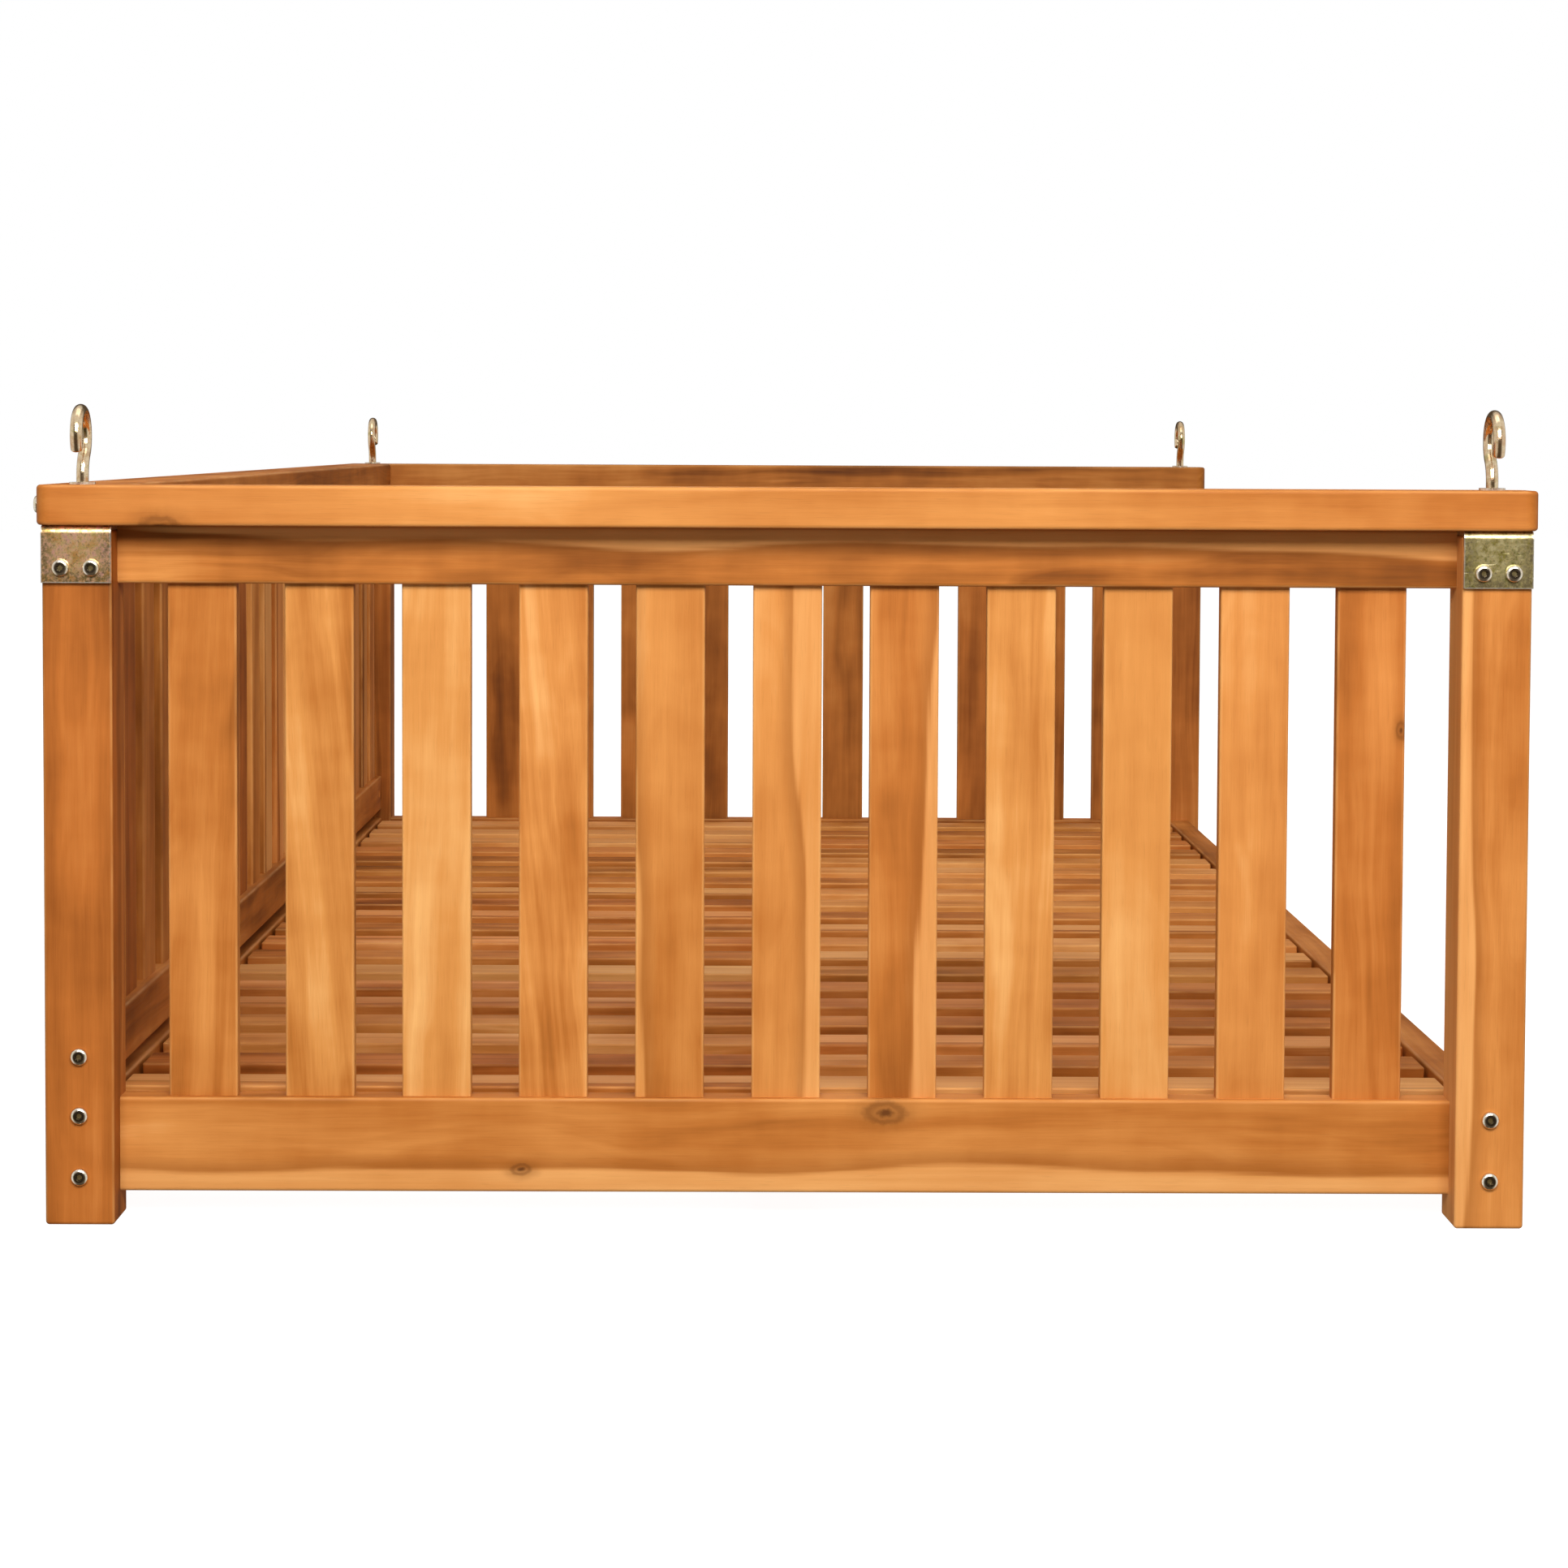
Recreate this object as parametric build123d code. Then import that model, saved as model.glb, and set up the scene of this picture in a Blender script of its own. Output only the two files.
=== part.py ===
from build123d import *
import os
from math import atan2, degrees, sqrt

# Hanging daybed (swing bed). Millimetres. X runs along the bed, Y from front (-) to back (+), Z up.
# The origin is on the floor under the middle. "left" is the -X end and "right" is the +X end.

# Driving dimensions
LENGTH = 1800.0            # over the corner posts, along X
DEPTH = 960.0              # over the corner posts, along Y
POST = 45.0                # square post section
BRACKET_THICK = 3.0
CAP_BOTTOM = 454.0
CAP_THICK = 26.0
CAP_WIDE = 49.0
CAP_REACH = 484.0          # half the length of an arm cap
CAP_END_ROUND = 10.0
RAIL_THICK = 24.0
RAIL_LOW = 18.0            # underside of the bottom and seat rails
RAIL_TALL = 62.0
ARM_TOP_RAIL_TALL = 38.0
BACK_RAIL_LOW = 89.0
BACK_RAIL_TALL = 38.5
SLAT_WIDE = 45.0
SLAT_THICK = 12.0
ARM_SLATS = 11
BACK_SLATS = 22
BACK_END_GAP = 16.0        # from a post to the first back slat
SEAT_SLATS = 20            # in each half of the seat
SEAT_END_GAP = 24.0        # from a post to the first seat slat
SEAT_TOP = 79.0
SEAT_SPLIT = 6.0           # gap between the two halves of the seat
SEAT_FIT = 2.5             # gap between a slat's outer end and the seat rail
LEDGER = 22.0              # square batten section
BEAM_WIDE = 56.0
BEAM_TENON_WIDE = 24.0
TENON_LONG = 12.0          # rail tenons in the posts
TENON_THICK = 12.0
TENON_SHOULDER = 8.0       # above and below a rail tenon
SLAT_TENON = 10.0
EASE = 2.5                 # rounding along the edges of rails, posts and caps
SLAT_EASE = 1.5

# Driving dimensions of the metal parts
BOLT_SHANK_R = 3.0
BOLT_LONG = 80.0
BOLT_HEIGHTS = (31.5, 71.5)
BACK_BOLT_HEIGHT = 110.0
BOLT_PLAY = 0.2
THREAD_PLAY = 0.05
HEAD_R = 5.75              # button heads of bolts and screws
HEAD_TALL = 3.3
HEAD_ROUND = 2.5
SOCKET_ACROSS = 4.0
SOCKET_DEEP = 2.0
BARREL_R = 5.0
BARREL_LONG = 20.0
BARREL_SINK = 1.0          # how far a barrel nut sits inside its bore's mouth
BOLT_RUNOUT = 6.0          # bore beyond the end of a bolt
BRACKET_LOW = 417.0
BRACKET_BEND_R = 5.0
SCREW_HEIGHT = 426.8
SCREW_SPREAD = 9.8         # from the post's middle
SCREW_R = 2.5
SCREW_LONG = 25.0
WIRE_R = 4.0               # hook wire
HOOK_FIT = 0.08            # radial clearance of a hook in its bores
HOOK_R = 16.5              # centre line of the hook's eye
HOOK_SET = 5.0             # the eye's middle stands this far outside the shank
HOOK_TOP = 532.0
HOOK_NECK_R = 20.0         # the bend between the shank and the eye
HOOK_MOUTH_ANGLE = 33.0    # the tip ends this far below the eye's middle
HOOK_BOTTOM = 440.0
WIRE_TIP_ROUND = 1.0
WASHER_R = 8.5
WASHER_THICK = 1.5
NUT_ACROSS = 13.0
NUT_TALL = 6.5
NUT_LOW = 443.5
POCKET_R = 10.0
POCKET_LOW = 438.0
END_SCREW_R = 2.0
END_SCREW_LONG = 16.0
END_WASHER_R = 6.0
END_WASHER_THICK = 1.2

# Derived places
END = LENGTH / 2                                   # outer X faces of the posts
SIDE = DEPTH / 2                                   # outer Y faces of the posts
POST_X = END - POST / 2
POST_Y = SIDE - POST / 2
INNER_X = END - POST
INNER_Y = SIDE - POST
POST_TOP = CAP_BOTTOM - BRACKET_THICK
CAP_TOP = CAP_BOTTOM + CAP_THICK
RAIL_TOP = RAIL_LOW + RAIL_TALL
ARM_TOP_RAIL_LOW = CAP_BOTTOM - ARM_TOP_RAIL_TALL
BACK_RAIL_TOP = BACK_RAIL_LOW + BACK_RAIL_TALL
ARM_SLAT_PITCH = (2 * INNER_Y + SLAT_WIDE) / (ARM_SLATS + 1)
ARM_RAIL_X = INNER_X + RAIL_THICK / 2              # middle plane of an arm panel
BACK_SLAT_PITCH = (2 * (INNER_X - BACK_END_GAP) - SLAT_WIDE) / (BACK_SLATS - 1)
SEAT_SLAT_PITCH = (2 * (INNER_X - SEAT_END_GAP) - SLAT_WIDE) / (SEAT_SLATS - 1)
SEAT_RAIL_INNER = POST_Y - RAIL_THICK / 2
SLAT_BED = SEAT_TOP - SLAT_THICK                   # what the seat slats lie on
BARREL_X = END - BOLT_LONG + 2 * BARREL_R
SCREW_PAIR = (-SCREW_SPREAD, SCREW_SPREAD)

ENDS = (("left", -1), ("right", 1))
SIDES = (("front", -1), ("back", 1))
CORNERS = [(f"{side}_{end}", sx, sy) for side, sy in SIDES for end, sx in ENDS]


def block(low, high):
    """A plain box between two corners given in any order."""
    size = [abs(b - a) for a, b in zip(low, high)]
    middle = [(a + b) / 2 for a, b in zip(low, high)]
    return Pos(*middle) * Box(*size)


def eased(low, high, radius=EASE, along=None):
    """A planed board with its edges rounded: all of them, or only those along one axis."""
    board = block(low, high)
    edges = board.edges().filter_by(along) if along else board.edges()
    return fillet(edges, radius)


def rod(start, axis, radius, length):
    """A cylinder from a start point along an axis."""
    return extrude(Plane(origin=start, z_dir=axis) * Circle(radius), length)


def nearest_edge(solid, point):
    return solid.edges().sort_by_distance(point)[0]


def write(node, solids):
    """Write one sub-part to its STEP file, as one solid or as a group of separate solids."""
    shape = solids if not isinstance(solids, list) else Compound(children=solids)
    shape.label = node
    export_step(shape, f"parts/{node}.step")


def bolt_heights(sy):
    return BOLT_HEIGHTS + ((BACK_BOLT_HEIGHT,) if sy > 0 else ())


def arm_tenon(sx, sy, rail_low, rail_tall):
    """The stub that joins an arm rail to a post."""
    x = sx * ARM_RAIL_X
    low = (x - TENON_THICK / 2, sy * INNER_Y, rail_low + TENON_SHOULDER)
    high = (x + TENON_THICK / 2, sy * (INNER_Y + TENON_LONG), rail_low + rail_tall - TENON_SHOULDER)
    return block(low, high)


def back_tenon(sx, rail_low, rail_tall):
    """The stub that joins a back panel rail to a post."""
    low = (sx * INNER_X, POST_Y - TENON_THICK / 2, rail_low + TENON_SHOULDER)
    high = (sx * (INNER_X + TENON_LONG), POST_Y + TENON_THICK / 2, rail_low + rail_tall - TENON_SHOULDER)
    return block(low, high)


def beam_tenon(sx):
    """The stub that joins the centre beam to an arm panel's bottom rail."""
    low = (sx * INNER_X, -BEAM_TENON_WIDE / 2, RAIL_LOW + TENON_SHOULDER)
    high = (sx * (INNER_X + TENON_LONG), BEAM_TENON_WIDE / 2, SLAT_BED - TENON_SHOULDER)
    return block(low, high)


def hook_bore(sx, sy, low, high):
    return rod((sx * POST_X, sy * POST_Y, low), (0, 0, 1), WIRE_R + HOOK_FIT, high - low)


# Wooden frame

def post(sx, sy):
    body = eased((sx * INNER_X, sy * INNER_Y, 0), (sx * END, sy * SIDE, POST_TOP))
    body -= arm_tenon(sx, sy, RAIL_LOW, RAIL_TALL)
    body -= arm_tenon(sx, sy, ARM_TOP_RAIL_LOW, ARM_TOP_RAIL_TALL)
    if sy > 0:
        body -= back_tenon(sx, ARM_TOP_RAIL_LOW, ARM_TOP_RAIL_TALL)
    for z in bolt_heights(sy):
        body -= rod((sx * END, sy * POST_Y, z), (-sx, 0, 0), BOLT_SHANK_R + BOLT_PLAY, POST)
    for dy in SCREW_PAIR:
        body -= rod((sx * END, sy * POST_Y + dy, SCREW_HEIGHT), (-sx, 0, 0), SCREW_R, SCREW_LONG)
    body -= rod((sx * POST_X, sy * POST_Y, POCKET_LOW), (0, 0, 1), POCKET_R, POST_TOP - POCKET_LOW)
    return body


def arm_cap(sx):
    board = block(
        (sx * INNER_X, -CAP_REACH, CAP_BOTTOM), (sx * (INNER_X + CAP_WIDE), CAP_REACH, CAP_TOP)
    )
    board = fillet(board.edges().filter_by(Axis.Z), CAP_END_ROUND)
    board = fillet(board.faces().sort_by(Axis.Z)[-1].edges(), EASE)
    board = fillet(board.faces().sort_by(Axis.Z)[0].edges(), EASE)
    for sy in (-1, 1):
        board -= hook_bore(sx, sy, CAP_BOTTOM, CAP_TOP)
    middle = (sx * (INNER_X + CAP_WIDE / 2), CAP_REACH, CAP_BOTTOM + CAP_THICK / 2)
    board -= rod(middle, (0, -1, 0), END_SCREW_R, END_SCREW_LONG)
    return board


def back_cap():
    low = (-INNER_X, CAP_REACH - CAP_WIDE, CAP_BOTTOM)
    return eased(low, (INNER_X, CAP_REACH, CAP_TOP), EASE, Axis.X)


def arm_slat(sx, number):
    y = (number - (ARM_SLATS - 1) / 2) * ARM_SLAT_PITCH
    x = sx * ARM_RAIL_X
    low = (x - SLAT_THICK / 2, y - SLAT_WIDE / 2, RAIL_TOP - SLAT_TENON)
    high = (x + SLAT_THICK / 2, y + SLAT_WIDE / 2, ARM_TOP_RAIL_LOW + SLAT_TENON)
    return eased(low, high, SLAT_EASE, Axis.Z)


def arm_rail(sx, low_z, tall):
    """An arm panel's rail with its tenons and with a mortise for every slat."""
    low = (sx * INNER_X, -INNER_Y, low_z)
    high = (sx * (INNER_X + RAIL_THICK), INNER_Y, low_z + tall)
    rail = eased(low, high, EASE, Axis.Y)
    for sy in (-1, 1):
        rail += arm_tenon(sx, sy, low_z, tall)
    for number in range(ARM_SLATS):
        rail -= arm_slat(sx, number)
    return rail


def arm_bottom_rail(sx):
    return arm_rail(sx, RAIL_LOW, RAIL_TALL) - beam_tenon(sx)


def back_slat(number):
    x = -INNER_X + BACK_END_GAP + SLAT_WIDE / 2 + number * BACK_SLAT_PITCH
    low = (x - SLAT_WIDE / 2, POST_Y - SLAT_THICK / 2, BACK_RAIL_TOP - SLAT_TENON)
    high = (x + SLAT_WIDE / 2, POST_Y + SLAT_THICK / 2, ARM_TOP_RAIL_LOW + SLAT_TENON)
    return eased(low, high, SLAT_EASE, Axis.Z)


def back_rail(low_z, tall):
    low = (-INNER_X, POST_Y - RAIL_THICK / 2, low_z)
    high = (INNER_X, POST_Y + RAIL_THICK / 2, low_z + tall)
    rail = eased(low, high, EASE, Axis.X)
    for number in range(BACK_SLATS):
        rail -= back_slat(number)
    return rail


def back_top_rail():
    rail = back_rail(ARM_TOP_RAIL_LOW, ARM_TOP_RAIL_TALL)
    for sx in (-1, 1):
        rail += back_tenon(sx, ARM_TOP_RAIL_LOW, ARM_TOP_RAIL_TALL)
    return rail


def bolted_end_cuts(sy, z):
    """The bores at both ends of a rail for a post bolt and its barrel nut."""
    cuts = []
    for sx in (-1, 1):
        mouth = (sx * INNER_X, sy * POST_Y, z)
        cuts.append(rod(mouth, (-sx, 0, 0), BOLT_SHANK_R + BOLT_PLAY, BOLT_LONG - POST + BOLT_RUNOUT))
        side_mouth = (sx * BARREL_X, sy * SEAT_RAIL_INNER, z)
        cuts.append(rod(side_mouth, (0, sy, 0), BARREL_R + BOLT_PLAY, BARREL_SINK + BARREL_LONG))
    return cuts


def back_bottom_rail():
    rail = back_rail(BACK_RAIL_LOW, BACK_RAIL_TALL)
    for cut in bolted_end_cuts(1, BACK_BOLT_HEIGHT):
        rail -= cut
    return rail


def seat_rail(sy):
    inner = sy * SEAT_RAIL_INNER
    outer = sy * (SEAT_RAIL_INNER + RAIL_THICK)
    rail = eased((-INNER_X, inner, RAIL_LOW), (INNER_X, outer, RAIL_TOP), EASE, Axis.X)
    for z in BOLT_HEIGHTS:
        for cut in bolted_end_cuts(sy, z):
            rail -= cut
    return rail


def seat_ledger(sy):
    """A batten on a seat rail's inner face. It stops short of the bolts' barrel nuts."""
    reach = BARREL_X - 2 * BARREL_R
    low = (-reach, sy * SEAT_RAIL_INNER, SLAT_BED - LEDGER)
    high = (reach, sy * (SEAT_RAIL_INNER - LEDGER), SLAT_BED)
    return eased(low, high, SLAT_EASE)


def seat_centre_beam():
    low = (-INNER_X, -BEAM_WIDE / 2, RAIL_LOW)
    beam = eased(low, (INNER_X, BEAM_WIDE / 2, SLAT_BED), EASE, Axis.X)
    for sx in (-1, 1):
        beam += beam_tenon(sx)
    return beam


def seat_slat(sy, number):
    x = -INNER_X + SEAT_END_GAP + SLAT_WIDE / 2 + number * SEAT_SLAT_PITCH
    low = (x - SLAT_WIDE / 2, sy * SEAT_SPLIT / 2, SLAT_BED)
    high = (x + SLAT_WIDE / 2, sy * (SEAT_RAIL_INNER - SEAT_FIT), SEAT_TOP)
    return eased(low, high, SLAT_EASE)


# Metal parts

def button_head(start, axis):
    """A domed screw head with a hexagon socket, standing on its seat at the start point."""
    head = rod(start, axis, HEAD_R, HEAD_TALL)
    seat = Plane(origin=start, z_dir=axis)
    top = head.faces().sort_by(lambda face: seat.to_local_coords(face.center()).Z)[-1]
    head = fillet(top.edges(), HEAD_ROUND)
    mouth = Plane(origin=seat.origin + seat.z_dir * HEAD_TALL, z_dir=axis)
    socket = extrude(mouth * RegularPolygon(SOCKET_ACROSS / 2, 6, major_radius=False), -SOCKET_DEEP)
    return head - socket


def post_bolt(sx, sy, z):
    seat = (sx * END, sy * POST_Y, z)
    head = button_head(seat, (sx, 0, 0))
    return head + rod(seat, (-sx, 0, 0), BOLT_SHANK_R, BOLT_LONG)


def barrel_nut(sx, sy, z):
    start = (sx * BARREL_X, sy * (SEAT_RAIL_INNER + BARREL_SINK), z)
    barrel = rod(start, (0, sy, 0), BARREL_R, BARREL_LONG)
    thread = rod((sx * END, sy * POST_Y, z), (-sx, 0, 0), BOLT_SHANK_R + THREAD_PLAY, 2 * BOLT_LONG)
    return barrel - thread


def bracket(sx, sy):
    """An angle of plate, down the outer face of a post and over its top."""
    face = sx * (END + BRACKET_THICK)
    far_edge = sx * (INNER_X + EASE)
    plate = block((face, sy * INNER_Y, BRACKET_LOW), (far_edge, sy * SIDE, CAP_BOTTOM))
    plate = fillet(nearest_edge(plate, (face, sy * POST_Y, CAP_BOTTOM)), BRACKET_BEND_R)
    under = block((sx * END, sy * INNER_Y, 0), (0, sy * SIDE, POST_TOP))
    inside_r = BRACKET_BEND_R - BRACKET_THICK
    under = fillet(nearest_edge(under, (sx * END, sy * POST_Y, POST_TOP)), inside_r)
    plate -= under
    for dy in SCREW_PAIR:
        mouth = (face, sy * POST_Y + dy, SCREW_HEIGHT)
        plate -= rod(mouth, (-sx, 0, 0), SCREW_R + BOLT_PLAY, 2 * BRACKET_THICK)
    return plate - hook_bore(sx, sy, POST_TOP, CAP_BOTTOM)


def bracket_screw(sx, sy, dy):
    seat = (sx * (END + BRACKET_THICK), sy * POST_Y + dy, SCREW_HEIGHT)
    head = button_head(seat, (sx, 0, 0))
    return head + rod(seat, (-sx, 0, 0), SCREW_R, SCREW_LONG)


def ring(centre, axis, outer_r, inner_r, thick):
    return rod(centre, axis, outer_r, thick) - rod(centre, axis, inner_r, thick)


def hook(sx, sy):
    """A hook bolt: a straight shank, a neck that leans inwards, and an open eye above it."""
    eye_z = HOOK_TOP - WIRE_R - HOOK_R
    across = HOOK_NECK_R + HOOK_SET
    rise = sqrt((HOOK_NECK_R + HOOK_R) ** 2 - across**2)
    bend = degrees(atan2(rise, across))
    shank = Line((0, HOOK_BOTTOM), (0, eye_z - rise))
    neck = CenterArc((HOOK_NECK_R, eye_z - rise), HOOK_NECK_R, 180, -bend)
    eye = CenterArc((-HOOK_SET, eye_z), HOOK_R, -bend, bend + 180 + HOOK_MOUTH_ANGLE)
    path = Plane.XZ * Wire([shank.edge(), neck.edge(), eye.edge()])
    wire = sweep(Plane.XY.offset(HOOK_BOTTOM) * Circle(WIRE_R), path=path)
    tip_face = wire.faces().filter_by(GeomType.PLANE).sort_by_distance(path @ 1)[0]
    wire = fillet(tip_face.edges(), WIRE_TIP_ROUND)
    turn = 0 if sx < 0 else 180
    return Pos(sx * POST_X, sy * POST_Y, 0) * Rot(0, 0, turn) * wire


def hook_nut(sx, sy):
    base = Plane.XY.offset(NUT_LOW) * Pos(sx * POST_X, sy * POST_Y)
    nut = extrude(base * RegularPolygon(NUT_ACROSS / 2, 6, major_radius=False), NUT_TALL)
    return nut - hook_bore(sx, sy, NUT_LOW, NUT_LOW + NUT_TALL)


def hook_washer(sx, sy):
    centre = (sx * POST_X, sy * POST_Y, CAP_TOP)
    return ring(centre, (0, 0, 1), WASHER_R, WIRE_R + HOOK_FIT, WASHER_THICK)


def cap_end_screw(sx):
    """A screw and its washer in the back end of an arm cap."""
    x = sx * (INNER_X + CAP_WIDE / 2)
    z = CAP_BOTTOM + CAP_THICK / 2
    washer = ring((x, CAP_REACH, z), (0, 1, 0), END_WASHER_R, END_SCREW_R + BOLT_PLAY, END_WASHER_THICK)
    seat = (x, CAP_REACH + END_WASHER_THICK, z)
    screw = button_head(seat, (0, 1, 0))
    screw += rod(seat, (0, -1, 0), END_SCREW_R, END_SCREW_LONG)
    return [screw, washer]


# Build and write every sub-part

os.makedirs("parts", exist_ok=True)

for corner, sx, sy in CORNERS:
    write(f"post_{corner}", post(sx, sy))
    write(f"bracket_{corner}", bracket(sx, sy))
    write(f"hook_{corner}", hook(sx, sy))
    write(f"hook_nut_{corner}", hook_nut(sx, sy))

for end, sx in ENDS:
    write(f"arm_cap_{end}", arm_cap(sx))
    write(f"arm_top_rail_{end}", arm_rail(sx, ARM_TOP_RAIL_LOW, ARM_TOP_RAIL_TALL))
    write(f"arm_bottom_rail_{end}", arm_bottom_rail(sx))
    for number in range(ARM_SLATS):
        write(f"arm_slat_{end}_{number + 1:02d}", arm_slat(sx, number))

write("back_cap", back_cap())
write("back_top_rail", back_top_rail())
write("back_bottom_rail", back_bottom_rail())
write("back_slats", [back_slat(number) for number in range(BACK_SLATS)])

for side, sy in SIDES:
    write(f"seat_rail_{side}", seat_rail(sy))
    write(f"seat_ledger_{side}", seat_ledger(sy))
    write(f"seat_slats_{side}", [seat_slat(sy, number) for number in range(SEAT_SLATS)])
write("seat_centre_beam", seat_centre_beam())

bolt_places = [(sx, sy, z) for _, sx, sy in CORNERS for z in bolt_heights(sy)]
write("post_bolts", [post_bolt(*place) for place in bolt_places])
write("barrel_nuts", [barrel_nut(*place) for place in bolt_places])
write("bracket_screws", [bracket_screw(sx, sy, dy) for _, sx, sy in CORNERS for dy in SCREW_PAIR])
write("hook_washers", [hook_washer(sx, sy) for _, sx, sy in CORNERS])
write("cap_end_screws", [piece for _, sx in ENDS for piece in cap_end_screw(sx)])
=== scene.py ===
import math
import random

import bpy
from mathutils import Matrix, Vector


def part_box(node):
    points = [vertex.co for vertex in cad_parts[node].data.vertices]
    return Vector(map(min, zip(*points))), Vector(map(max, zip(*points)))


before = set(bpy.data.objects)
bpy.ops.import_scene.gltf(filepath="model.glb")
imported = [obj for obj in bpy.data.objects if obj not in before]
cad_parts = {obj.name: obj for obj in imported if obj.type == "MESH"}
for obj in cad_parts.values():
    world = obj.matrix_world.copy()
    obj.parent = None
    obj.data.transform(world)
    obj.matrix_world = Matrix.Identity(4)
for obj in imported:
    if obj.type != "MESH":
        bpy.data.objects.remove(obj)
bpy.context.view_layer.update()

rng = random.Random(7)

# ---------------------------------------------------------------- camera and studio

scene = bpy.context.scene
scene.view_settings.view_transform = "Standard"

# the room's light by height, from straight down (0) to straight up (1)
ROOM = [
    (0.30, (0.42, 0.40, 0.38)),
    (0.47, (0.12, 0.12, 0.12)),
    (0.55, (0.22, 0.22, 0.22)),
    (0.90, (0.30, 0.30, 0.30)),
]
# what reflections see instead: dark in front and behind, light overhead and at both sides
REFLECTED_DARK = (0.10, 0.075, 0.05)
REFLECTED_LIGHT = (0.85, 0.83, 0.80)
WALL_RADIUS, WALL_STEPS = 16.0, 48
WALL_HEIGHTS = (-1.0, 30.0)


def make_camera():
    """Looks along +X at the left end of the bed, slightly down, from 2.3 m."""
    x, y, z = -3.229, 0.01794, 0.51324
    yaw, pitch, roll = math.radians(0.379), math.radians(2.864), math.radians(0.252)
    level = Vector((math.cos(yaw), -math.sin(yaw), 0))
    side = Vector((-math.sin(yaw), -math.cos(yaw), 0))
    forward = math.cos(pitch) * level - math.sin(pitch) * Vector((0, 0, 1))
    up = math.sin(pitch) * level + math.cos(pitch) * Vector((0, 0, 1))
    right = math.cos(roll) * side + math.sin(roll) * up
    up = -math.sin(roll) * side + math.cos(roll) * up
    data = bpy.data.cameras.new("camera")
    data.sensor_width = 36
    data.lens = 83.12
    data.shift_y = -0.1064
    data.clip_end = 60
    camera = bpy.data.objects.new("camera", data)
    camera.matrix_world = Matrix((
        (right.x, up.x, -forward.x, x),
        (right.y, up.y, -forward.y, y),
        (right.z, up.z, -forward.z, z),
        (0, 0, 0, 1),
    ))
    scene.collection.objects.link(camera)
    scene.camera = camera


def area_light(name, place, target, size, watts):
    data = bpy.data.lights.new(name, "AREA")
    data.shape = "RECTANGLE"
    data.size, data.size_y = size
    data.energy = watts
    light = bpy.data.objects.new(name, data)
    light.location = place
    light.rotation_euler = (Vector(target) - Vector(place)).to_track_quat("-Z", "Y").to_euler()
    scene.collection.objects.link(light)
    return light


class Nodes:
    """Short ways to add shader nodes to a tree."""

    def __init__(self, tree):
        self.tree = tree

    def add(self, kind, **settings):
        node = self.tree.nodes.new(kind)
        for key, value in settings.items():
            setattr(node, key, value)
        return node

    def put(self, socket, value):
        if isinstance(value, bpy.types.NodeSocket):
            self.tree.links.new(value, socket)
        elif value is not None:
            socket.default_value = value

    def math(self, operation, a, b=None, c=None):
        node = self.add("ShaderNodeMath", operation=operation)
        for socket, value in zip(node.inputs, (a, b, c)):
            self.put(socket, value)
        return node.outputs[0]

    def vector(self, x, y, z):
        node = self.add("ShaderNodeCombineXYZ")
        for socket, value in zip(node.inputs, (x, y, z)):
            self.put(socket, value)
        return node.outputs[0]

    def vmath(self, operation, a, b=None):
        node = self.add("ShaderNodeVectorMath", operation=operation)
        self.put(node.inputs[0], a)
        self.put(node.inputs[1], b)
        return node.outputs["Value"] if operation == "LENGTH" else node.outputs[0]

    def split(self, vector):
        node = self.add("ShaderNodeSeparateXYZ")
        self.put(node.inputs[0], vector)
        return node.outputs

    def noise(self, vector, scale, detail, roughness):
        node = self.add("ShaderNodeTexNoise")
        self.put(node.inputs["Vector"], vector)
        node.inputs["Scale"].default_value = scale
        node.inputs["Detail"].default_value = detail
        node.inputs["Roughness"].default_value = roughness
        return node.outputs["Fac"]

    def span(self, value, low, high, out_low=0.0, out_high=1.0, smooth=False):
        """Maps low..high to out_low..out_high, clamped."""
        node = self.add("ShaderNodeMapRange")
        node.interpolation_type = "SMOOTHSTEP" if smooth else "LINEAR"
        for name, v in (("Value", value), ("From Min", low), ("From Max", high),
                        ("To Min", out_low), ("To Max", out_high)):
            self.put(node.inputs[name], v)
        return node.outputs["Result"]

    def mix(self, factor, a, b, blend="MIX"):
        node = self.add("ShaderNodeMix", data_type="RGBA", blend_type=blend)
        self.put(node.inputs[0], factor)
        self.put(node.inputs[6], a if not isinstance(a, tuple) else (*a, 1))
        self.put(node.inputs[7], b if not isinstance(b, tuple) else (*b, 1))
        return node.outputs[2]

    def ramp(self, factor, stops):
        node = self.add("ShaderNodeValToRGB")
        elements = node.color_ramp.elements
        while len(elements) < len(stops):
            elements.new(0.5)
        for element, (position, colour) in zip(elements, stops):
            element.position = position
            element.color = (*colour, 1)
        self.put(node.inputs[0], factor)
        return node.outputs[0]

    def bump(self, height, distance):
        node = self.add("ShaderNodeBump")
        node.inputs["Distance"].default_value = distance
        self.put(node.inputs["Height"], height)
        return node.outputs[0]


def new_material(name):
    """Returns the material, its Nodes and its Principled shader."""
    material = bpy.data.materials.new(name)
    material.use_nodes = True
    material.node_tree.nodes.clear()
    nodes = Nodes(material.node_tree)
    shader = nodes.add("ShaderNodeBsdfPrincipled")
    output = nodes.add("ShaderNodeOutputMaterial")
    nodes.tree.links.new(shader.outputs[0], output.inputs[0])
    return material, nodes, shader


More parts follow.
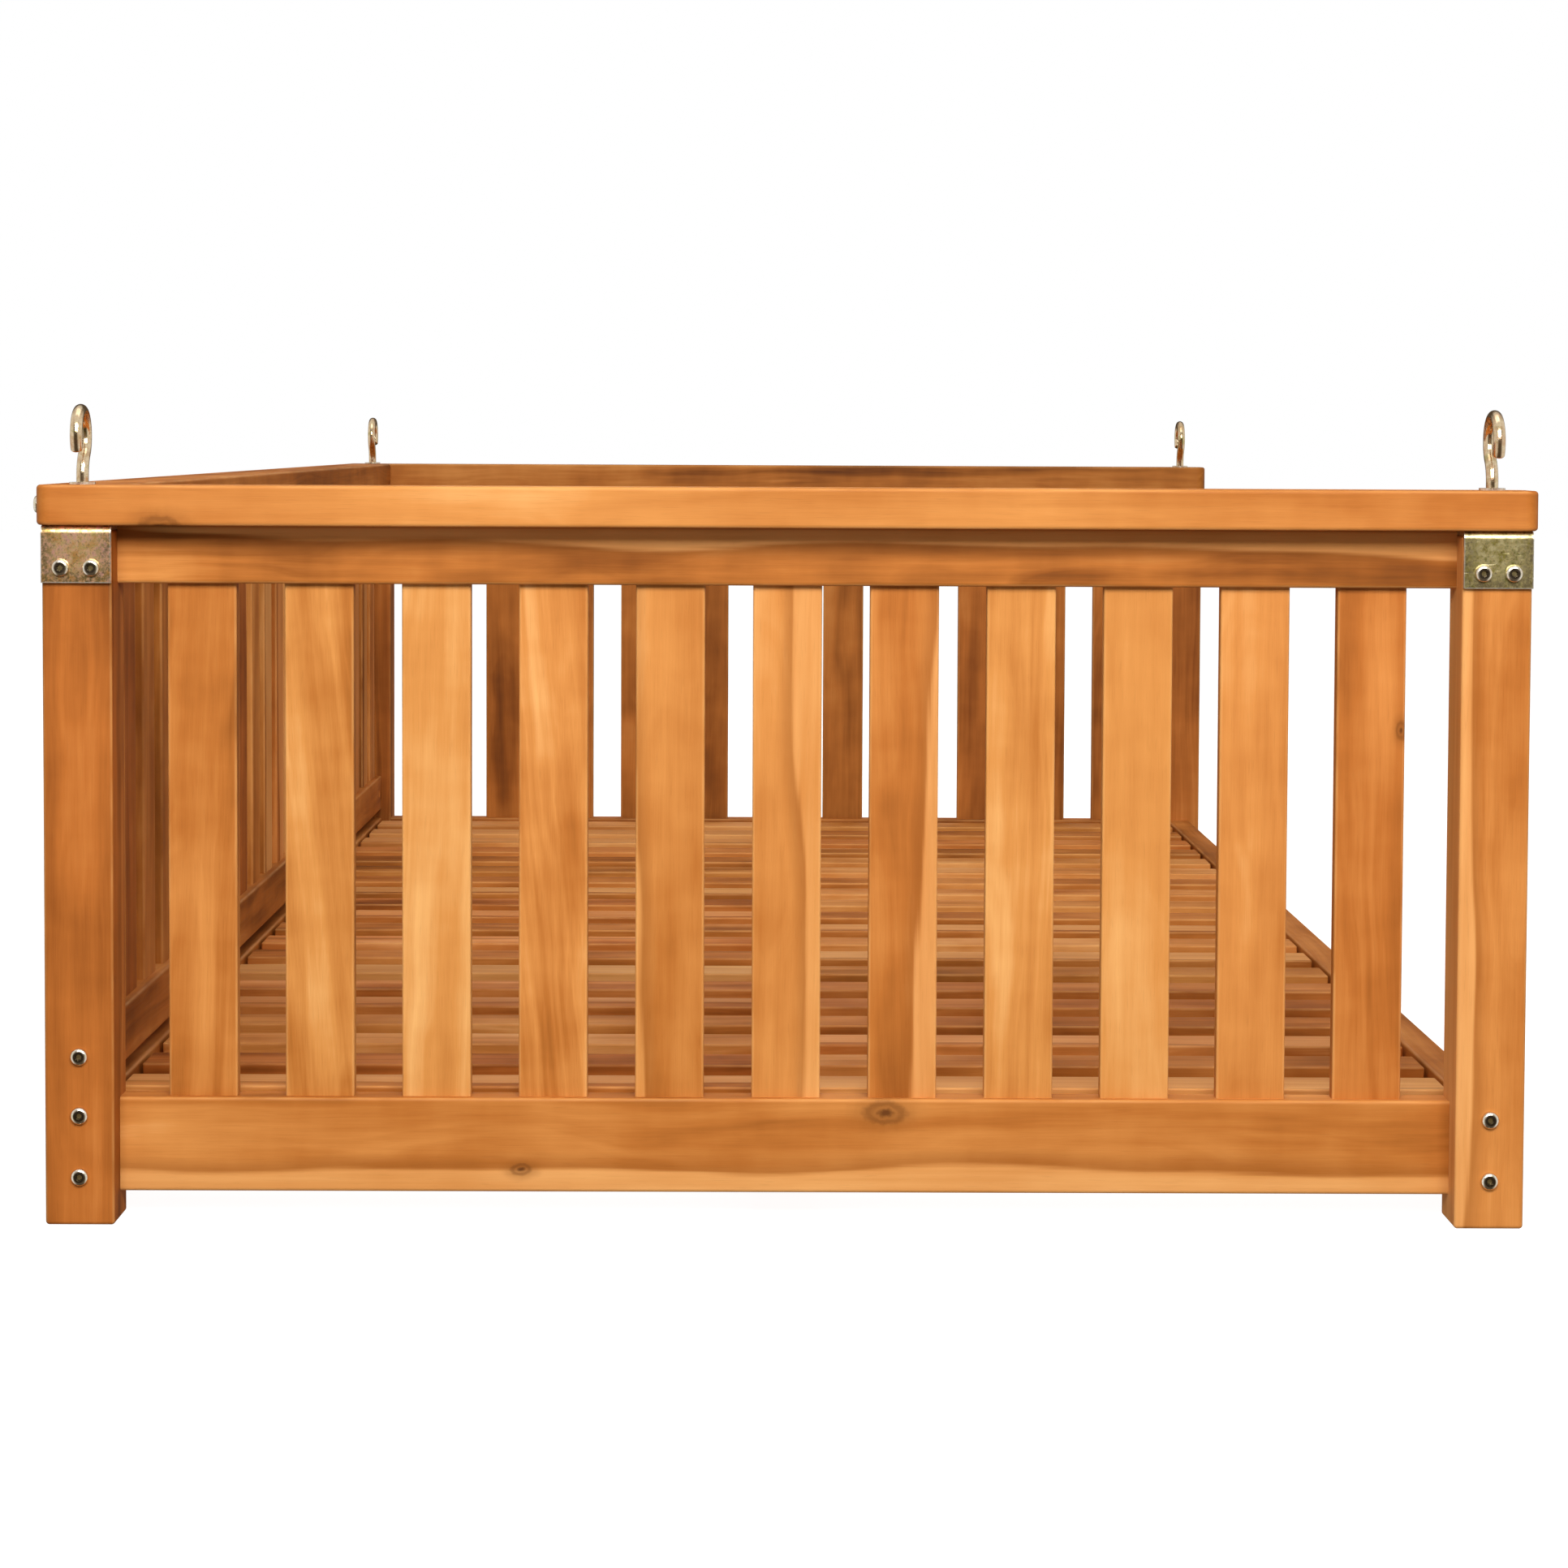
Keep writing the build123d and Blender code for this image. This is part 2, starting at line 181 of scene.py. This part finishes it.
def make_world():
    """A dim soft room for diffuse light, and another one for reflections."""
    world = bpy.data.worlds.new("studio")
    scene.world = world
    world.use_nodes = True
    nodes = Nodes(world.node_tree)
    world.node_tree.nodes.clear()
    background = nodes.add("ShaderNodeBackground")
    output = nodes.add("ShaderNodeOutputWorld")
    nodes.tree.links.new(background.outputs[0], output.inputs[0])
    direction = nodes.split(nodes.add("ShaderNodeTexCoord").outputs["Generated"])
    height = nodes.math("MULTIPLY_ADD", direction[2], 0.5, 0.5)
    room = nodes.ramp(height, ROOM)
    sides = nodes.span(nodes.math("ABSOLUTE", direction[1]), 0.35, 0.8, smooth=True)
    overhead = nodes.span(direction[2], 0.45, 0.8, smooth=True)
    lit = nodes.math("MAXIMUM", sides, overhead)
    reflected = nodes.mix(lit, REFLECTED_DARK, REFLECTED_LIGHT)
    glossy = nodes.add("ShaderNodeLightPath").outputs["Is Glossy Ray"]
    nodes.put(background.inputs["Color"], nodes.mix(glossy, room, reflected))
    background.inputs["Strength"].default_value = 1.0


def stage_piece(name, vertices, faces, emission, base):
    """A plain white studio surface. The camera sees it, but it lights nothing and shows in no reflection."""
    mesh = bpy.data.meshes.new(name)
    mesh.from_pydata(vertices, [], faces)
    piece = bpy.data.objects.new(name, mesh)
    scene.collection.objects.link(piece)
    piece.visible_diffuse = False
    piece.visible_glossy = False
    material, _, shader = new_material(name)
    shader.inputs["Base Color"].default_value = (base, base, base, 1)
    shader.inputs["Roughness"].default_value = 0.9
    shader.inputs["Specular IOR Level"].default_value = 0.0
    shader.inputs["Emission Color"].default_value = (1, 1, 1, 1)
    shader.inputs["Emission Strength"].default_value = emission
    mesh.materials.append(material)
    return piece


def make_studio():
    """A white floor with a white wall all round it."""
    reach, steps = WALL_RADIUS, WALL_STEPS
    corners = [(-reach, -reach, 0), (reach, -reach, 0), (reach, reach, 0), (-reach, reach, 0)]
    stage_piece("studio_floor", corners, [(0, 1, 2, 3)], emission=0.95, base=0.3)
    turns = [2 * math.pi * i / steps for i in range(steps)]
    vertices = [(reach * math.cos(turn), reach * math.sin(turn), z) for z in WALL_HEIGHTS for turn in turns]
    faces = [(i, (i + 1) % steps, steps + (i + 1) % steps, steps + i) for i in range(steps)]
    wall = stage_piece("studio_wall", vertices, faces, emission=1.0, base=0.0)
    wall.visible_shadow = False


# ---------------------------------------------------------------- wood

DARK = (0.085, 0.022, 0.002)
BROWN = (0.250, 0.074, 0.008)
ORANGE = (0.450, 0.150, 0.024)
GOLDEN = (0.620, 0.252, 0.058)
PALE = (0.780, 0.402, 0.135)
SHADES = [(0.0, DARK), (0.25, BROWN), (0.5, ORANGE), (0.75, GOLDEN), (1.0, PALE)]
FULL_RED = (1.02, 0.78, 0.70)       # multiplies the colour of a board whose Red is 1
RING_SWAY = 0.030                   # metres that the rings wander
SAP_SWAY = 0.045                    # metres that the edge of the sapwood wanders
ARRIS_HIGHLIGHT_FADE = (0.0005, 0.0022)            # metres over which the painted highlight on an arris fades
WOOD_RELIEF = 0.0001
WOOD_SPECULAR = 0.14
KNOT_ACROSS_TO_ALONG = 0.55
ROW_SEED_STEP = 7.31                # takes each board of a row to its own piece of the pattern
ROW_RED = 0.4                       # how far the boards of a row differ
ROW_SLOPE = 0.05
ROW_SAP = (-0.035, 0.10)
ARM_SLATS, SEAT_SLATS, BACK_SLATS = 11, 20, 22      # SEAT_SLATS is for one half of the seat
SLAT_HALF_WIDTH = 0.0225
SLAT_HALF_THICKNESS = 0.006
BOARD_INPUTS = {
    "Seed": 0.0, "Pith Across": 0.0, "Pith Through": 0.06, "Slope": 0.0, "Taper": 0.02, "Tone": 0.5,
    "Contrast": 1.0, "Red": 0.0, "Sap": 1.0, "Sap Slope": 0.0, "Half Across": 0.0225, "Half Through": 0.006,
}


def board_group():
    """The pattern of one sawn board. Its coordinate is (across, through, along) in metres, from the
    middle of the board."""
    tree = bpy.data.node_groups.new("sawn_board", "ShaderNodeTree")
    tree.interface.new_socket("Board", in_out="INPUT", socket_type="NodeSocketVector")
    for name, value in BOARD_INPUTS.items():
        tree.interface.new_socket(name, in_out="INPUT", socket_type="NodeSocketFloat").default_value = value
    for name, kind in (("Color", "Color"), ("Roughness", "Float"), ("Height", "Float")):
        tree.interface.new_socket(name, in_out="OUTPUT", socket_type=f"NodeSocket{kind}")
    n = Nodes(tree)
    given = n.add("NodeGroupInput").outputs
    across, through, along = n.split(given["Board"])[:3]
    seed = given["Seed"]

    def stretched(scale_cross, scale_along, shift, detail, roughness=0.5, lean=False):
        """Noise drawn out along the board. lean lets it follow the board's slope of grain."""
        side = n.math("MULTIPLY_ADD", along, given["Slope"], across) if lean else across
        place = n.vector(
            n.math("MULTIPLY_ADD", side, scale_cross, seed),
            n.math("MULTIPLY_ADD", through, scale_cross, shift),
            n.math("MULTIPLY_ADD", along, scale_along, seed),
        )
        return n.noise(place, 1.0, detail, roughness)

    # rings about a pith that drifts along the board
    sway = n.math("SUBTRACT", stretched(9, 2.6, 3.1, 2), 0.5)
    sway_2 = n.math("SUBTRACT", stretched(16, 5.5, 11.7, 2), 0.5)
    da = n.math("SUBTRACT", across, given["Pith Across"])
    da = n.math("ADD", da, n.math("MULTIPLY", along, given["Slope"]))
    da = n.math("MULTIPLY_ADD", sway, RING_SWAY, da)
    dt = n.math("ADD", through, given["Pith Through"])
    dt = n.math("ADD", dt, n.math("MULTIPLY", along, given["Taper"]))
    dt = n.math("MULTIPLY_ADD", sway_2, RING_SWAY, dt)
    ring = n.vmath("LENGTH", n.vector(da, dt, 0.0))

    def in_rings(scale, scale_along, shift, detail, roughness):
        """Noise that follows the rings."""
        place = n.vector(
            n.math("MULTIPLY_ADD", ring, scale, seed),
            n.math("MULTIPLY", along, scale_along),
            n.math("ADD", seed, shift),
        )
        return n.noise(place, 1.0, detail, roughness)

    bands = in_rings(75, 1.6, 0.0, 3.0, 0.55)
    lines = in_rings(330, 2.5, 5.0, 3.0, 0.6)
    streaks = stretched(110, 3.0, 21.0, 4, 0.6, lean=True)
    fibres = stretched(1300, 34, 31.0, 2)
    blotch = stretched(16, 7.0, 41.0, 3)
    figure = stretched(24, 46, 51.0, 2)
    pores = stretched(1500, 60, 61.0, 1)

    # the tone of the board, shifted by each part of the pattern
    weights = (
        (bands, 0.90), (lines, 0.15), (streaks, 0.42),
        (fibres, 0.10), (blotch, 0.85), (figure, 0.16),
    )
    value = given["Tone"]
    for part, weight in weights:
        centred = n.math("MULTIPLY", n.math("SUBTRACT", part, 0.5), weight)
        value = n.math("MULTIPLY_ADD", centred, given["Contrast"], value)
    colour = n.ramp(value, SHADES)
    # sapwood along one edge, with a darker line where it meets the heartwood
    edge = n.math("MULTIPLY_ADD", along, given["Sap Slope"], n.math("MULTIPLY_ADD", sway, SAP_SWAY, across))
    edge = n.math("SUBTRACT", edge, given["Sap"])
    edge = n.math("MULTIPLY_ADD", n.math("SUBTRACT", streaks, 0.5), 0.008, edge)
    sap = n.span(edge, -0.0015, 0.0025, smooth=True)
    rim = n.math("MULTIPLY", n.span(edge, -0.012, -0.001, smooth=True), n.math("SUBTRACT", 1.0, sap))
    colour = n.mix(n.math("MULTIPLY", rim, 0.42), colour, BROWN)
    sap_colour = n.mix(n.span(n.math("ADD", streaks, blotch), 0.7, 1.3), GOLDEN, PALE)
    colour = n.mix(n.math("MULTIPLY", sap, 0.8), colour, sap_colour)
    # redder boards
    red = n.mix(given["Red"], (1.0, 1.0, 1.0), FULL_RED)
    colour = n.mix(1.0, colour, red, "MULTIPLY")
    # open pores
    pore = n.span(pores, 0.60, 0.72)
    colour = n.mix(n.math("MULTIPLY", pore, 0.08), colour, DARK)
    # painted highlight along the arrises, lightened towards PALE in patches
    out_a = n.math("SUBTRACT", given["Half Across"], n.math("ABSOLUTE", across))
    out_t = n.math("SUBTRACT", given["Half Through"], n.math("ABSOLUTE", through))
    arris_highlight = n.math("MULTIPLY", n.span(out_a, *ARRIS_HIGHLIGHT_FADE, 1, 0, True), n.span(out_t, *ARRIS_HIGHLIGHT_FADE, 1, 0, True))
    arris_highlight = n.math("MULTIPLY", arris_highlight, n.span(stretched(60, 25, 71.0, 2), 0.35, 0.6, 0.25, 0.75))
    colour = n.mix(arris_highlight, colour, n.mix(0.55, colour, PALE))
    rough = n.math("MULTIPLY_ADD", fibres, 0.18, n.math("MULTIPLY_ADD", blotch, 0.22, 0.36))
    height = n.math("MULTIPLY_ADD", fibres, 0.5, n.math("MULTIPLY", lines, 0.6))
    height = n.math("MULTIPLY_ADD", pore, -0.15, height)
    result = n.add("NodeGroupOutput")
    n.put(result.inputs["Color"], colour)
    n.put(result.inputs["Roughness"], rough)
    n.put(result.inputs["Height"], height)
    return tree


BOARD = board_group()
AXES = {"X": 0, "Y": 1, "Z": 2}


def wood(name, along, across, middle, half, tone=0.5, contrast=1.0, red=0.0, sap=1.0, sap_slope=0.0,
         slope=0.0, taper=0.02, flip=False, knots=(), row=None, ends=0.0):
    """A board's material. along and across name row axes, and half is the board's half size on X, Y and Z.
    row is (first middle, pitch, spread of tone) for equal boards that stand along X in one node: each of them
    gets its own piece of the pattern. ends darkens and reddens both ends. knots are (across, along, radius)
    in metres, from the board's middle."""
    material, n, shader = new_material(name)
    place = n.add("ShaderNodeTexCoord").outputs["Object"]
    parts = n.split(n.vmath("SUBTRACT", place, tuple(middle)))
    through = ({"X", "Y", "Z"} - {along, across}).pop()
    board = [parts[AXES[axis]] for axis in (across, through, along)]
    group = n.add("ShaderNodeGroup", node_tree=BOARD)
    seed = rng.uniform(0, 60)
    pith = (rng.uniform(-0.03, 0.03), rng.uniform(0.02, 0.07))
    settings = {
        "Seed": seed, "Tone": tone, "Contrast": contrast, "Red": red, "Slope": slope, "Sap": sap,
        "Sap Slope": sap_slope, "Taper": taper, "Pith Across": pith[0], "Pith Through": pith[1],
        "Half Across": half[AXES[across]], "Half Through": half[AXES[through]],
    }
    for key, value in settings.items():
        group.inputs[key].default_value = value
    if row:
        first, pitch, spread = row
        x = n.split(place)[0]
        index = n.math("ROUND", n.math("DIVIDE", n.math("SUBTRACT", x, first), pitch))
        dice = n.add("ShaderNodeTexWhiteNoise", noise_dimensions="1D")
        n.put(dice.inputs["W"], n.math("ADD", index, seed))
        chance = n.split(dice.outputs["Color"])
        n.put(group.inputs["Tone"], n.math("MULTIPLY_ADD", n.math("SUBTRACT", chance[0], 0.5), spread, tone))
        n.put(group.inputs["Seed"], n.math("MULTIPLY_ADD", index, ROW_SEED_STEP, seed))
        n.put(group.inputs["Red"], n.span(chance[1], 0.0, 1.0, red - ROW_RED, red + ROW_RED))
        n.put(group.inputs["Slope"], n.span(chance[2], 0.0, 1.0, -ROW_SLOPE, ROW_SLOPE))
        n.put(group.inputs["Sap"], n.span(chance[2], 0.0, 1.0, *ROW_SAP))
        board[(across, through, along).index("X")] = n.math(
            "SUBTRACT", x, n.math("MULTIPLY_ADD", index, pitch, first))
    if ends:
        from_middle = n.math("DIVIDE", n.math("ABSOLUTE", board[2]), half[AXES[along]])
        n.put(group.inputs["Tone"], n.span(from_middle, 0.35, 1.0, tone, tone - ends, True))
        n.put(group.inputs["Red"], n.span(from_middle, 0.35, 1.0, red, red + 2 * ends, True))
    if flip:
        board[0] = n.math("MULTIPLY", board[0], -1.0)
    n.put(group.inputs["Board"], n.vector(*board))
    colour = group.outputs["Color"]
    # a knot is a brown patch, a soft ring and a dark heart. away is 1 on its ring
    ragged = n.math("SUBTRACT", n.noise(place, 160, 3, 0.6), 0.5) if knots else None
    for knot_across, knot_along, radius in knots:
        da = n.math("SUBTRACT", parts[AXES[across]], knot_across)
        dl = n.math("SUBTRACT", parts[AXES[along]], knot_along)
        dl = n.math("MULTIPLY", dl, KNOT_ACROSS_TO_ALONG)
        away = n.math("DIVIDE", n.vmath("LENGTH", n.vector(da, dl, 0.0)), radius)
        away = n.math("MULTIPLY_ADD", ragged, 0.8, away)
        colour = n.mix(n.span(away, 0.8, 3.0, 0.5, 0, True), colour, BROWN)
        from_ring = n.math("ABSOLUTE", n.math("SUBTRACT", away, 1.0))
        colour = n.mix(n.span(from_ring, 0.05, 0.55, 0.40, 0, True), colour, DARK)
        colour = n.mix(n.span(away, 0.10, 0.75, 0.85, 0, True), colour, DARK)
    n.put(shader.inputs["Base Color"], colour)
    n.put(shader.inputs["Roughness"], group.outputs["Roughness"])
    n.put(shader.inputs["Normal"], n.bump(group.outputs["Height"], WOOD_RELIEF))
    shader.inputs["Specular IOR Level"].default_value = WOOD_SPECULAR
    return material


def dress(node, material):
    """Gives a node one material."""
    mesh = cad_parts[node].data
    mesh.materials.clear()
    mesh.materials.append(material)


def plank(node, along, across, half=None, **settings):
    """Dresses a node as a board as large as its box. half is given where the node holds several boards."""
    low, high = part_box(node)
    half = half or (high - low) / 2
    dress(node, wood(node, along, across, (low + high) / 2, half, **settings))


# the left arm panel's slats, from the back (+Y) to the front
LEFT_ARM = [
    dict(tone=0.52, red=0.20, slope=0.05, contrast=0.9),
    dict(tone=0.58, red=0.00, slope=-0.10, contrast=1.1),
    dict(tone=0.80, red=0.00, slope=0.03, contrast=0.8),
    dict(tone=0.63, red=0.20, slope=-0.10, contrast=1.1),
    dict(tone=0.73, red=0.12, slope=0.00, contrast=0.8, sap=0.0195),
    dict(tone=0.69, red=0.18, slope=-0.02, contrast=0.7, sap=0.009, sap_slope=0.018, flip=True),
    dict(tone=0.56, red=0.30, slope=0.02, contrast=0.8, sap=0.015, sap_slope=-0.022, flip=True),
    dict(tone=0.72, red=0.05, slope=0.03, contrast=0.9),
    dict(tone=0.74, red=0.05, slope=0.00, contrast=0.6),
    dict(tone=0.62, red=0.25, slope=0.01, contrast=0.8),
    dict(tone=0.57, red=0.40, slope=0.00, contrast=0.8, knots=[(-0.020, 0.075, 0.0028)]),
]
POSTS = {
    "front_left": dict(tone=0.62, red=0.30, contrast=0.85, sap=0.014),
    "back_left": dict(tone=0.42, red=0.50, contrast=0.8),
    # the right posts' darker tones are partly darker wood, partly painted shade for the far end, which gets
    # less light
    "front_right": dict(tone=0.40, red=0.40, contrast=0.9),
    "back_right": dict(tone=0.40, red=0.30, contrast=0.9),
}


def dress_wood():
    for corner, look in POSTS.items():
        plank(f"post_{corner}", "Z", "Y", taper=0.006, **look)
    for number, look in enumerate(reversed(LEFT_ARM), 1):
        plank(f"arm_slat_left_{number:02d}", "Z", "Y", **look)
    # the right arm panel's slats are darker than the left's: partly darker wood, partly painted shade for the
    # far end, which gets less light
    for number in range(1, ARM_SLATS + 1):
        plank(f"arm_slat_right_{number:02d}", "Z", "Y", tone=rng.uniform(0.28, 0.50), red=rng.uniform(0, 0.4),
              slope=rng.uniform(-0.06, 0.06), contrast=0.95)
    plank("arm_cap_left", "Y", "Z", tone=0.66, red=0.12, contrast=0.7, ends=0.09,
          knots=[(-0.0145, 0.404, 0.006)])
    plank("arm_top_rail_left", "Y", "Z", tone=0.46, red=0.15, contrast=1.2, sap=0.008, sap_slope=-0.03)
    plank("arm_bottom_rail_left", "Y", "Z", tone=0.55, red=0.2, contrast=0.8, sap=0.017, flip=True,
          knots=[(0.022, -0.065, 0.006), (-0.016, 0.173, 0.003)])
    # the right cap and rails are darker than the left's: partly darker wood, partly painted shade for the far
    # end, which gets less light
    plank("arm_cap_right", "Y", "Z", tone=0.42, contrast=1.2)
    plank("arm_top_rail_right", "Y", "Z", tone=0.40, contrast=1.2)
    plank("arm_bottom_rail_right", "Y", "Z", tone=0.36, red=0.3, contrast=1.0)
    for node in ("back_cap", "back_top_rail", "back_bottom_rail", "seat_rail_front", "seat_rail_back"):
        plank(node, "X", "Z", tone=0.45, red=0.2, taper=0.01)
    for node in ("seat_ledger_front", "seat_ledger_back", "seat_centre_beam"):
        plank(node, "X", "Y", tone=0.42, red=0.2, taper=0.01)
    for side in ("front", "back"):
        low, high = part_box(f"seat_slats_{side}")
        pitch = (high.x - low.x - 2 * SLAT_HALF_WIDTH) / (SEAT_SLATS - 1)
        half = (SLAT_HALF_WIDTH, (high.y - low.y) / 2, SLAT_HALF_THICKNESS)
        plank(f"seat_slats_{side}", "Y", "X", half, tone=0.57, red=0.3,
              row=(low.x + SLAT_HALF_WIDTH, pitch, 0.32))
    low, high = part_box("back_slats")
    pitch = (high.x - low.x - 2 * SLAT_HALF_WIDTH) / (BACK_SLATS - 1)
    half = (SLAT_HALF_WIDTH, SLAT_HALF_THICKNESS, (high.z - low.z) / 2)
    plank("back_slats", "Z", "X", half, tone=0.5, red=0.2, row=(low.x + SLAT_HALF_WIDTH, pitch, 0.3))


# ---------------------------------------------------------------- metal

# dark colour for specks and grime of dirt, and for the painted shade in the socket recesses
DIRT_AND_SHADE = (0.10, 0.065, 0.03)
RUBBED = (0.88, 0.85, 0.76)
# painted highlight on the floor of each socket
PAINTED_SOCKET_GLINT = (0.92, 0.80, 0.42)
ZINC = [(0.72, 0.66, 0.48), (0.88, 0.84, 0.74), (0.70, 0.63, 0.42), (0.74, 0.62, 0.50)]
HOOK_ZINC = [(0.55, 0.38, 0.18), (0.82, 0.66, 0.45), (0.50, 0.42, 0.18), (0.62, 0.38, 0.22)]
WARM_ZINC = [(0.70, 0.36, 0.10), (0.98, 0.62, 0.34), (0.92, 0.50, 0.42), (0.46, 0.36, 0.12)]
OLIVE_ZINC = [(0.42, 0.35, 0.09), (0.72, 0.60, 0.28), (0.32, 0.29, 0.08), (0.56, 0.48, 0.26)]
BACK_BRACKET = dict(tints=WARM_ZINC, roughness=0.34, mottle=130, dirt=0.6, scratches=0.25)
FRONT_BRACKET = dict(tints=OLIVE_ZINC, roughness=0.32, mottle=110, dirt=0.45, scratches=0.6)
METAL_RELIEF = 0.00003
SCREW_SPREAD = 0.0098               # bracket screws stand this far each side of the post's middle
SCREW_HEIGHT = 0.4268
BOLT_HEIGHTS = (0.0315, 0.0715, 0.110)


def nearest_axis(n, place, axes):
    """The distance from the nearest of some axes along X, each given as its (y, z)."""
    _, y, z = n.split(place)[:3]
    nearest = None
    for axis_y, axis_z in axes:
        away = n.vmath("LENGTH", n.vector(n.math("SUBTRACT", y, axis_y), n.math("SUBTRACT", z, axis_z), 0.0))
        nearest = away if nearest is None else n.math("MINIMUM", nearest, away)
    return nearest


def zinc(name, tints, roughness, mottle, dirt, scratches=0.0, plate=None, heads=()):
    """Passivated zinc whose colour drifts between four tints, with specks of dirt. plate is the (low, high)
    box of a bracket: dirt gathers along its sides and lower edge, and the rims are rubbed bright. heads are
    the (y, z) of screw axes: painted shade darkens a ring in the recess round each socket, and a painted
    highlight lightens the socket's floor."""
    material, n, shader = new_material(name)
    place = n.add("ShaderNodeTexCoord").outputs["Object"]
    drift = n.noise(place, mottle, 6, 0.75)
    drift_2 = n.noise(n.vmath("ADD", place, (4.0, 2.0, 9.0)), mottle * 2.7, 5, 0.7)
    colour = n.ramp(n.span(drift, 0.38, 0.62), [(0.0, tints[0]), (0.5, tints[1]), (1.0, tints[2])])
    colour = n.mix(n.span(drift_2, 0.45, 0.62, 0.0, 0.8), colour, tints[3])
    specks = n.noise(place, 620, 3, 0.6)
    colour = n.mix(n.span(specks, 0.54, 0.66, 0.0, dirt), colour, DIRT_AND_SHADE)
    rough = n.span(drift_2, 0.3, 0.7, roughness - 0.05, roughness + 0.08)
    height = specks
    if scratches:
        streak = n.noise(n.vmath("MULTIPLY", place, (300.0, 30.0, 1100.0)), 2.0, 2, 0.5)
        scratch = n.span(streak, 0.70, 0.76, 0.0, scratches)
        colour = n.mix(scratch, colour, RUBBED)
        height = n.math("SUBTRACT", specks, scratch)
    if plate:
        low, high = plate
        _, y, z = n.split(place)[:3]
        from_middle = n.math("ABSOLUTE", n.math("SUBTRACT", y, (low.y + high.y) / 2))
        from_side = n.math("SUBTRACT", (high.y - low.y) / 2, from_middle)
        inside = n.math("MINIMUM", from_side, n.math("SUBTRACT", z, low.z))
        grime = n.math("MULTIPLY", n.span(inside, 0.001, 0.012, 0.75, 0.0, True), n.span(drift_2, 0.40, 0.58))
        colour = n.mix(grime, colour, DIRT_AND_SHADE)
        colour = n.mix(n.span(inside, 0.0003, 0.0010, 0.5, 0.0, True), colour, RUBBED)
    if heads:
        away = nearest_axis(n, place, heads)
        # painted shade: a dark ring in the recess round each socket
        colour = n.mix(n.span(away, 0.0030, 0.0040, 0.85, 0.0, True), colour, DIRT_AND_SHADE)
        # painted highlight: a light spot on each socket's floor
        colour = n.mix(n.span(away, 0.0012, 0.0020, 0.9, 0.0, True), colour, PAINTED_SOCKET_GLINT)
    n.put(shader.inputs["Base Color"], colour)
    n.put(shader.inputs["Roughness"], rough)
    n.put(shader.inputs["Normal"], n.bump(height, METAL_RELIEF))
    shader.inputs["Metallic"].default_value = 1.0
    return material


def dress_metal():
    low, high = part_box("post_back_left")
    post_y = (low.y + high.y) / 2
    rows = (-post_y, post_y)
    screw_axes = [(y + dy, SCREW_HEIGHT) for y in rows for dy in (-SCREW_SPREAD, SCREW_SPREAD)]
    bolt_axes = [(y, z) for y in rows for z in BOLT_HEIGHTS]
    polished = dict(tints=ZINC, roughness=0.20, mottle=120, dirt=0.2)
    dress("bracket_screws", zinc("zinc_screws", **polished, heads=screw_axes))
    dress("post_bolts", zinc("zinc_bolts", **polished, heads=bolt_axes))
    plain = zinc("zinc_plain", ZINC, roughness=0.22, mottle=120, dirt=0.2)
    hook_zinc = zinc("zinc_hook", HOOK_ZINC, roughness=0.15, mottle=50, dirt=0.12)
    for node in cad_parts:
        if node in ("barrel_nuts", "cap_end_screws", "hook_washers") or node.startswith("hook_nut"):
            dress(node, plain)
        elif node.startswith("hook"):
            dress(node, hook_zinc)
        elif node.startswith("bracket_") and node != "bracket_screws":
            look = BACK_BRACKET if "back" in node else FRONT_BRACKET
            dress(node, zinc(f"zinc_{node}", **look, plate=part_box(node)))


make_camera()
make_world()
make_studio()
area_light("key", (-3.0, -0.15, 1.75), target=(-0.9, 0.0, 0.25), size=(2.4, 1.1), watts=100)
fill = area_light("fill", (3.0, 0.15, 1.75), target=(0.9, 0.0, 0.25), size=(2.4, 1.1), watts=40)
fill.visible_glossy = False
area_light("overhead", (-0.4, 0.0, 3.2), target=(0, 0, 0), size=(2.6, 1.8), watts=18)
dress_wood()
dress_metal()
